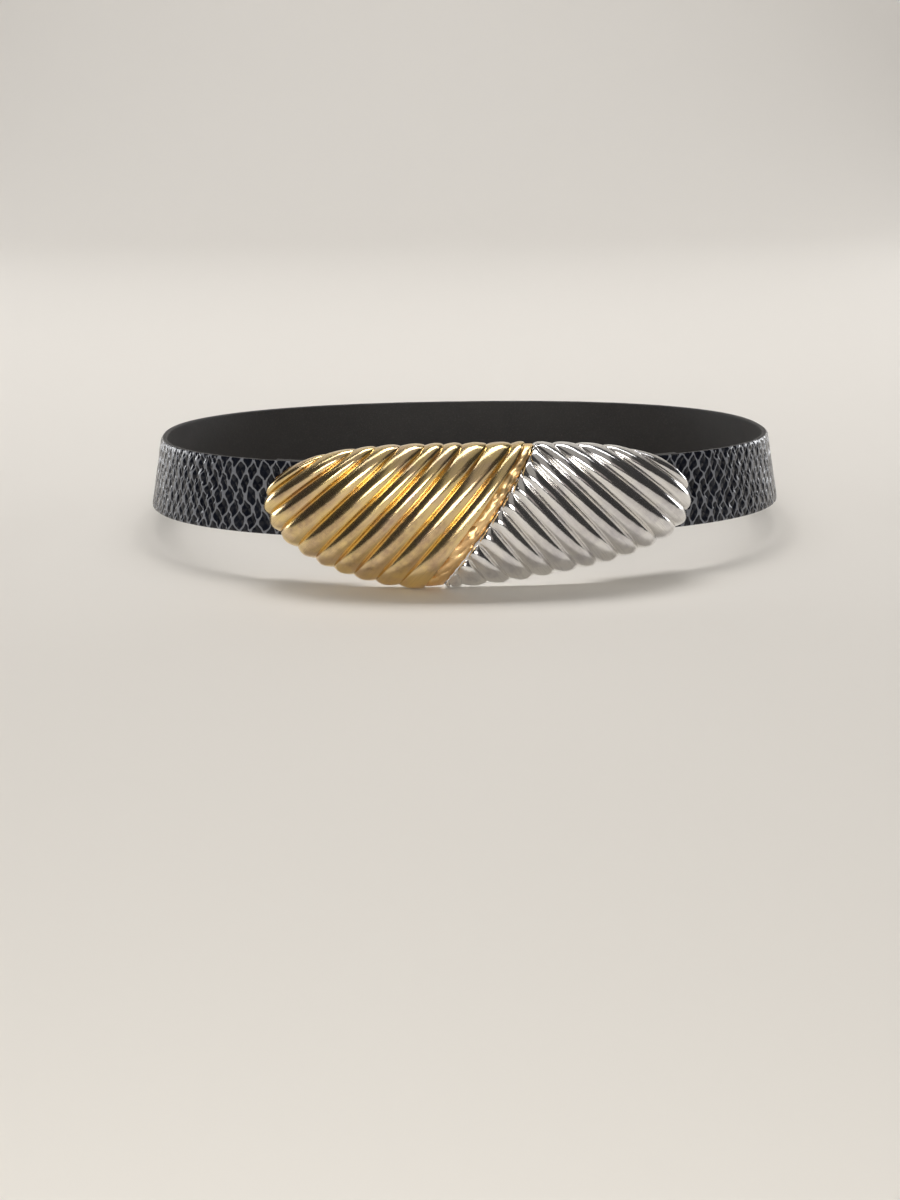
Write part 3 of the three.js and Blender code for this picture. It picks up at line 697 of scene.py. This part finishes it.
def strap_skin(pile, line, side, travelled):
    """Raised scales on the outer face, one small quilt of faces for each scale."""
    start, end = travelled[0] + SKIN_END, travelled[-1] - SKIN_END
    marks = np.array([
        -0.5, -0.5 + FLANK, -0.5 + 2 * FLANK, -CROWN_MARK, 0,
        CROWN_MARK, 0.5 - 2 * FLANK, 0.5 - FLANK, 0.5,
    ])
    count = len(marks)
    a, b = np.meshgrid(marks, marks, indexing="ij")
    a, b = a.ravel(), b.ravel()
    first = int(start / SCALE_WIDTH * 2) - SPARE_COLUMNS
    last = int(end / SCALE_WIDTH * 2) + SPARE_COLUMNS
    reach = int(STRAP_WIDTH / SCALE_HEIGHT) + SPARE_ROWS
    columns, rows = range(first, last), range(-reach, reach + 1)
    centres = np.array([(i, j) for i in columns for j in rows if (i + j) % 2 == 0], float)
    cs = centres[:, 0] * SCALE_WIDTH / 2
    cv = centres[:, 1] * SCALE_HEIGHT / 2
    keep = np.abs(cv) < HALF_WIDTH + SCALE_HEIGHT / 2
    keep &= (cs > start - SCALE_WIDTH) & (cs < end + SCALE_WIDTH)
    cs, cv = cs[keep], cv[keep]
    along = cs[:, None] + (a + b)[None] / 2 * SCALE_WIDTH
    up = cv[:, None] + (a - b)[None] / 2 * SCALE_HEIGHT
    wide, tall = along / SCALE_WIDTH, up / SCALE_HEIGHT
    uv = np.stack([wide + tall, wide - tall], -1)
    rng = np.random.default_rng(SCALE_SEED)
    rise_each = rng.uniform(*SCALE_RISE_SHARES, len(cs))[:, None]
    inside = np.minimum(0.5 - np.abs(a), 0.5 - np.abs(b))[None] * CELL_SPAN
    shoulder = np.clip((inside - SHOULDER_START) / SHOULDER_LENGTH, 0, 1)
    shape = shoulder ** 2 * (3 - 2 * shoulder) * SHOULDER_SHARE
    shape = shape + CROWN_SHARE * np.clip(inside / CROWN_LENGTH, 0, 1)
    rise = SCALE_RISE * rise_each * shape
    # Natural unevenness of the skin.
    dist, high = along + waves(along, up, WARP_ALONG), up + waves(along, up, WARP_UP)
    edge = HALF_WIDTH - SKIN_MARGIN
    clipped = np.clip(high, -edge, edge)
    dist = np.clip(dist, start, end)
    over = np.clip(np.abs(clipped) - (HALF_WIDTH - EDGE_RADIUS), 0, EDGE_RADIUS)
    crown = HALF_THICKNESS - EDGE_RADIUS + np.sqrt(EDGE_RADIUS ** 2 - over ** 2)
    lift = sunk(crown) + SKIN_LIFT + rise * (1 - (over / EDGE_RADIUS) ** 2)
    place_s, place_h = (np.interp(dist, travelled, line[:, axis]) for axis in (0, 1))
    side_s, side_h = (np.interp(dist, travelled, side[:, axis]) for axis in (0, 1))
    points = np.stack([place_s + side_s * lift, clipped, place_h + side_h * lift], -1)
    corner = np.add.outer(np.arange(count - 1) * count, np.arange(count - 1)).reshape(-1, 1)
    quads = corner + np.array([0, count, count + 1, 1])
    faces = []
    for k in range(len(cs)):
        heights, places = high[k][quads], dist[k][quads]
        alive = ~((heights >= edge).all(1) | (heights <= -edge).all(1))
        alive &= ~((places >= end).all(1) | (places <= start).all(1))
        faces += (quads + k * count * count)[alive].tolist()
    pile.add(points, faces, uv, mat=0)


def strap(materials):
    pile = Pile()
    line = strap_centre()
    way = np.gradient(line, axis=0)
    way /= np.hypot(*way.T)[:, None]
    side = np.stack([-way[:, 1], way[:, 0]], -1)
    travelled = np.concatenate([[0], np.cumsum(np.hypot(*np.diff(line, axis=0).T))])
    strap_body(pile, line, side, travelled)
    strap_skin(pile, line, side, travelled)
    return pile.build("snakeskin_strap", materials)


class Nodes:
    """Short hand for a material's nodes."""

    def __init__(self, name):
        self.material = bpy.data.materials.new(name)
        self.material.use_nodes = True
        self.tree = self.material.node_tree
        self.shader = self.tree.nodes["Principled BSDF"]

    def new(self, kind, **values):
        node = self.tree.nodes.new(kind)
        for key, value in values.items():
            setattr(node, key, value)
        return node

    def link(self, source, target):
        self.tree.links.new(source, target)

    def set(self, **values):
        for key, value in values.items():
            self.shader.inputs[key.replace("_", " ")].default_value = value

    def feed(self, **sources):
        for key, source in sources.items():
            self.link(source, self.shader.inputs[key.replace("_", " ")])

    def split(self, vector):
        node = self.new("ShaderNodeSeparateXYZ")
        self.link(vector, node.inputs[0])
        return node.outputs

    def math(self, operation, a, b=0.5):
        node = self.new("ShaderNodeMath", operation=operation)
        for k, value in enumerate((a, b)):
            if isinstance(value, (int, float)):
                node.inputs[k].default_value = value
            else:
                self.link(value, node.inputs[k])
        return node.outputs[0]

    def noise(self, vector, scale, detail, rough):
        node = self.new("ShaderNodeTexNoise")
        node.inputs["Scale"].default_value = scale
        node.inputs["Detail"].default_value = detail
        node.inputs["Roughness"].default_value = rough
        self.link(vector, node.inputs["Vector"])
        return node.outputs["Fac"]

    def cells(self, vector, scale, feature):
        node = self.new("ShaderNodeTexVoronoi", feature=feature)
        node.inputs["Scale"].default_value = scale
        self.link(vector, node.inputs["Vector"])
        return node.outputs["Distance"]

    def ramp(self, value, stops):
        node = self.new("ShaderNodeValToRGB")
        band = node.color_ramp
        while len(band.elements) < len(stops):
            band.elements.new(0.5)
        for element, (at, grey) in zip(band.elements, stops):
            element.position = at
            element.color = (grey, grey, grey, 1)
        self.link(value, node.inputs[0])
        return node.outputs["Color"]

    def mix(self, share, a, b):
        node = self.new("ShaderNodeMix", data_type="RGBA")
        for value, socket in ((share, node.inputs[0]), (a, node.inputs[6]), (b, node.inputs[7])):
            if isinstance(value, tuple):
                socket.default_value = (*value, 1)
            else:
                self.link(value, socket)
        return node.outputs[2]

    def bump(self, height, strength, distance, normal=None):
        node = self.new("ShaderNodeBump")
        node.inputs["Strength"].default_value = strength
        node.inputs["Distance"].default_value = distance
        self.link(height, node.inputs["Height"])
        if normal is not None:
            self.link(normal, node.inputs["Normal"])
        return node.outputs["Normal"]

    def scaled(self, vector, scale):
        node = self.new("ShaderNodeMapping")
        node.inputs["Scale"].default_value = scale
        self.link(vector, node.inputs["Vector"])
        return node.outputs["Vector"]


def metal(name, colour, tint, dark, roughness, pit_scale, pit_share, bumps=1.0, brushed=1.0, tarnish_and_painted_dark=None):
    """Plated metal with clouds, streaks and pits. The last argument is a colour and its strength that
    darken each rib's lower half: partly tarnish, partly a painted dark reflection.
    """
    n = Nodes(name)
    place = n.new("ShaderNodeTexCoord")
    where, ribs = place.outputs["Object"], place.outputs["UV"]
    streak = n.noise(n.scaled(ribs, (26, 5, 1)), 1.0, 6, 0.6)
    cloud = n.noise(where, 130, 5, 0.55)
    fine = n.noise(where, 1900, 3, 0.6)
    wave = n.noise(where, 330, 2, 0.4)
    patchy = n.ramp(n.noise(where, 95, 2, 0.5), [(pit_share, 0.0), (pit_share + 0.12, 1.0)])
    pit = n.ramp(n.cells(where, pit_scale, "F1"), [(0.06, 1.0), (0.17, 0.0)])
    pitted = n.math("MULTIPLY", pit, patchy)
    base = n.mix(n.ramp(cloud, [(0.42, 0.0), (0.66, 1.0)]), colour, tint)
    base = n.mix(n.math("MULTIPLY", n.ramp(streak, [(0.5, 0.0), (0.75, 1.0)]), 0.35), base, dark)
    base = n.mix(n.math("MULTIPLY", pitted, 0.75), base, dark)
    if tarnish_and_painted_dark:
        # Mottled patches along the lower half of each rib, away from its valleys, darken the plating:
        # partly tarnish, partly a painted dark reflection of what the ribs mirror there.
        pattern = n.split(ribs)
        soft = n.math("MULTIPLY", n.math("SUBTRACT", n.noise(where, 90, 3, 0.6), 0.5), 0.6)
        high = n.math("ADD", pattern["Y"], soft)
        along = n.ramp(high, [(0.10, 0.0), (0.18, 1.0), (0.40, 1.0), (0.62, 0.0)])
        across = n.math("FRACT", pattern["X"])
        across = n.ramp(across, [(0.14, 0.0), (0.34, 1.0), (0.66, 1.0), (0.86, 0.0)])
        mottled = n.ramp(n.noise(where, 420, 4, 0.65), [(0.36, 0.45), (0.6, 1.0)])
        share = n.math("MULTIPLY", n.math("MULTIPLY", along, across), mottled)
        base = n.mix(n.math("MULTIPLY", share, tarnish_and_painted_dark[1]), base, tarnish_and_painted_dark[0])
    rough = n.math("ADD", n.math("MULTIPLY", streak, 0.16), n.math("MULTIPLY", pitted, 0.3))
    rough = n.math("ADD", rough, roughness)
    normal = n.bump(wave, 0.16 * bumps, 0.0006)
    normal = n.bump(streak, 0.10 * brushed, 0.00022, normal)
    normal = n.bump(fine, 0.05, 0.00006, normal)
    normal = n.bump(pitted, 0.5, -0.00008, normal)
    n.set(Metallic=1.0)
    n.feed(Base_Color=base, Roughness=rough, Normal=normal)
    return n.material


def snakeskin():
    """Glossy dark cells, each of its own tone, between pale lines."""
    n = Nodes("snakeskin_black")
    place = n.new("ShaderNodeTexCoord")
    where, pattern = place.outputs["Object"], place.outputs["UV"]
    # A line runs where either pattern coordinate is whole. The fourth powers round the cells' corners.
    axes = n.split(pattern)
    powers = []
    for axis in ("X", "Y"):
        offset = n.math("ABSOLUTE", n.math("SUBTRACT", n.math("FRACT", axes[axis]), 0.5))
        powers.append(n.math("POWER", offset, 4.0))
    inside = n.math("SUBTRACT", 0.5, n.math("POWER", n.math("ADD", *powers), 0.25))
    wobble = n.math("MULTIPLY", n.math("SUBTRACT", n.noise(where, 900, 4, 0.6), 0.5), 0.05)
    net = n.ramp(n.math("ADD", inside, wobble), [(0.03, 1.0), (0.085, 0.0)])
    grain = n.noise(where, 2600, 4, 0.65)
    floor_cell = n.new("ShaderNodeVectorMath", operation="FLOOR")
    n.link(pattern, floor_cell.inputs[0])
    cell = n.new("ShaderNodeTexWhiteNoise", noise_dimensions="2D")
    n.link(floor_cell.outputs[0], cell.inputs["Vector"])
    tone = n.mix(cell.outputs["Value"], (0.003, 0.004, 0.009), (0.009, 0.011, 0.018))
    tone = n.mix(n.ramp(grain, [(0.55, 0.0), (0.8, 1.0)]), tone, (0.028, 0.032, 0.045))
    lines = n.mix(grain, (0.10, 0.108, 0.127), (0.34, 0.35, 0.385))
    rough = n.math("ADD", n.math("MULTIPLY", net, 0.3), n.math("MULTIPLY", grain, 0.14))
    normal = n.bump(grain, 0.35, 0.00012)
    normal = n.bump(n.noise(where, 700, 3, 0.5), 0.2, 0.0003, normal)
    n.set(Coat_Weight=1.0, Coat_IOR=1.3, Coat_Roughness=0.14, Specular_IOR_Level=0.04)
    n.feed(Base_Color=n.mix(net, tone, lines), Roughness=n.math("ADD", rough, 0.16), Normal=normal)
    return n.material


def leather_back():
    """Plain dark leather with a fine grain."""
    n = Nodes("strap_leather_back")
    where = n.new("ShaderNodeTexCoord").outputs["Object"]
    grain = n.noise(where, 1500, 5, 0.65)
    base = n.mix(n.noise(where, 60, 3, 0.5), (0.008, 0.0075, 0.008), (0.022, 0.020, 0.020))
    base = n.mix(n.ramp(grain, [(0.5, 0.0), (0.75, 1.0)]), base, (0.038, 0.035, 0.035))
    rough = n.math("ADD", n.math("MULTIPLY", grain, 0.25), 0.42)
    cells = n.ramp(n.cells(where, 1400, "DISTANCE_TO_EDGE"), [(0.0, 0.0), (0.25, 1.0)])
    normal = n.bump(grain, 0.3, 0.0001, n.bump(cells, 0.4, 0.00012))
    n.feed(Base_Color=base, Roughness=rough, Normal=normal)
    return n.material


def satin_metal():
    n = Nodes("clasp_satin_metal")
    where = n.new("ShaderNodeTexCoord").outputs["Object"]
    brushed = n.noise(n.scaled(where, (1, 40, 40)), 60, 5, 0.6)
    base = n.mix(brushed, (0.42, 0.42, 0.41), (0.62, 0.61, 0.59))
    rough = n.math("ADD", n.math("MULTIPLY", brushed, 0.2), 0.25)
    n.set(Metallic=1.0)
    n.feed(Base_Color=base, Roughness=rough, Normal=n.bump(brushed, 0.15, 0.00008))
    return n.material


# The gold and the silver darken over each rib's lower half: partly tarnish, partly a painted dark
# reflection.
gold_metal = metal(
    "gold_plate", (0.90, 0.69, 0.33), tint=(0.80, 0.60, 0.37), dark=(0.30, 0.20, 0.12),
    roughness=0.13, pit_scale=900, pit_share=0.62, bumps=0.5, tarnish_and_painted_dark=((0.34, 0.21, 0.15), 0.62),
)
lip_metal = metal(
    "gold_lip", (0.93, 0.66, 0.33), tint=(0.84, 0.54, 0.26), dark=(0.34, 0.20, 0.10),
    roughness=0.27, pit_scale=1100, pit_share=0.5, bumps=1.6,
)
silver_metal = metal(
    "silver_plate", (0.90, 0.885, 0.86), tint=(0.82, 0.81, 0.82), dark=(0.20, 0.18, 0.18),
    roughness=0.07, pit_scale=700, pit_share=0.56, bumps=0.6, brushed=0.25,
    tarnish_and_painted_dark=((0.32, 0.29, 0.33), 0.36),
)

made = {
    "gold_half": (gold_half([gold_metal, lip_metal]), "gold_metal"),
    "silver_half": (silver_half([silver_metal]), "silver_metal"),
    "clasp_plate": (clasp_plate([satin_metal()]), "clasp_steel"),
    "strap": (strap([snakeskin(), leather_back()]), "snakeskin"),
}
for node, (piece, finish) in made.items():
    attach(piece, "root")
    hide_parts(node)

# A pale table, in metres, that rises behind into a backdrop. Its front edge is below the picture.
TABLE_FRONT, TABLE_BACK, TABLE_HALF_WIDTH = -0.45, 0.9, 2.2
COVE_RADIUS, BACKDROP_TOP = 0.5, 1.6
profile = [(TABLE_FRONT, 0.0), (-0.2, 0.0), (0.2, 0.0), (TABLE_BACK, 0.0)]
for angle in np.linspace(0.1, math.pi / 2, 16):
    out, rise = COVE_RADIUS * math.sin(angle), COVE_RADIUS * math.cos(angle)
    profile.append((TABLE_BACK + out, COVE_RADIUS - rise))
profile.append((TABLE_BACK + COVE_RADIUS, BACKDROP_TOP))
floor_mesh = bpy.data.meshes.new("floor")
floor_mesh.from_pydata(
    [(x, y, z) for y, z in profile for x in (-TABLE_HALF_WIDTH, TABLE_HALF_WIDTH)], [],
    [(2 * k, 2 * k + 1, 2 * k + 3, 2 * k + 2) for k in range(len(profile) - 1)],
)
floor_mesh.polygons.foreach_set("use_smooth", [True] * (len(profile) - 1))
floor = bpy.data.objects.new("floor", floor_mesh)
bpy.context.scene.collection.objects.link(floor)
plain = Nodes("pale_floor")
plain.set(Base_Color=(0.80, 0.77, 0.72, 1), Roughness=0.75)
floor_mesh.materials.append(plain.material)

world = bpy.data.worlds.new("studio")
bpy.context.scene.world = world
world.use_nodes = True
world.node_tree.nodes["Background"].inputs["Color"].default_value = (0.045, 0.043, 0.042, 1)
world.node_tree.nodes["Background"].inputs["Strength"].default_value = 1.0


def area(name, place, aim, size, watts, colour):
    data = bpy.data.lights.new(name, "AREA")
    data.shape = "RECTANGLE"
    data.size, data.size_y = size
    data.energy = watts
    data.color = colour
    thing = bpy.data.objects.new(name, data)
    thing.location = place
    thing.rotation_euler = (Vector(aim) - Vector(place)).to_track_quat("-Z", "Y").to_euler()
    bpy.context.scene.collection.objects.link(thing)


area("key", (-0.12, -0.85, 0.22), (0, -0.1, 0.03), (0.42, 0.2), 2.4, (1.0, 0.98, 0.93))
area("ceiling", (0.0, -1.2, 1.5), (0, -1.2, 0), (2.0, 2.4), 4.2, (1.0, 0.95, 0.88))
area("far_wall", (0.0, -1.6, 0.52), (0, -0.1, 0.03), (1.8, 0.5), 0.8, (1.0, 0.86, 0.82))
area("top", (0.0, 0.30, 1.1), (0, 0.05, 0), (0.6, 0.3), 5.0, (1.0, 0.98, 0.96))
area("backdrop_light", (0.0, 0.35, 1.5), (0, 1.25, 0.3), (2.4, 0.4), 12.5, (0.99, 0.99, 1.0))
area("left_box", (-0.95, 0.6, 0.16), (0, 0, 0.03), (0.6, 0.26), 3.0, (0.97, 0.98, 1.0))
area("right_box", (0.95, 0.6, 0.16), (0, 0, 0.03), (0.6, 0.26), 3.0, (0.97, 0.98, 1.0))
bpy.context.scene.view_settings.view_transform = "Standard"

# Camera where the photograph was taken from, given relative to the plane of the loop.
# The focal length and the loop's centre are in pixels of the picture.
PICTURE_WIDTH, PICTURE_HEIGHT, SENSOR = 900, 1200, 36
FOCAL, DISTANCE = 1800, 735.85
ELEVATION, SIDE, ROLL = math.radians(12.97), math.radians(-3.03), math.radians(-0.52)
CENTRE = (464.24, 461.16)
back = np.array([
    math.sin(SIDE) * math.cos(ELEVATION), -math.cos(SIDE) * math.cos(ELEVATION), math.sin(ELEVATION),
])
level = np.cross([0, 0, 1], back)
level /= np.linalg.norm(level)
upright = np.cross(back, level)
right = math.cos(ROLL) * level + math.sin(ROLL) * upright
up = -math.sin(ROLL) * level + math.cos(ROLL) * upright
eye = back * DISTANCE
eye = eye - right * (CENTRE[0] - PICTURE_WIDTH / 2) * DISTANCE / FOCAL
eye = eye + up * (CENTRE[1] - PICTURE_HEIGHT / 2) * DISTANCE / FOCAL
axes = np.stack([turn @ right, turn @ up, turn @ back], 1)
camera = bpy.data.cameras.new("camera")
camera.lens = FOCAL / PICTURE_HEIGHT * SENSOR
camera.sensor_width = SENSOR
camera.clip_start = 0.01
view = bpy.data.objects.new("camera", camera)
view.matrix_world = Matrix(np.vstack([np.column_stack([axes, stand(eye)]), [0, 0, 0, 1]]).tolist())
bpy.context.scene.collection.objects.link(view)
bpy.context.scene.camera = view
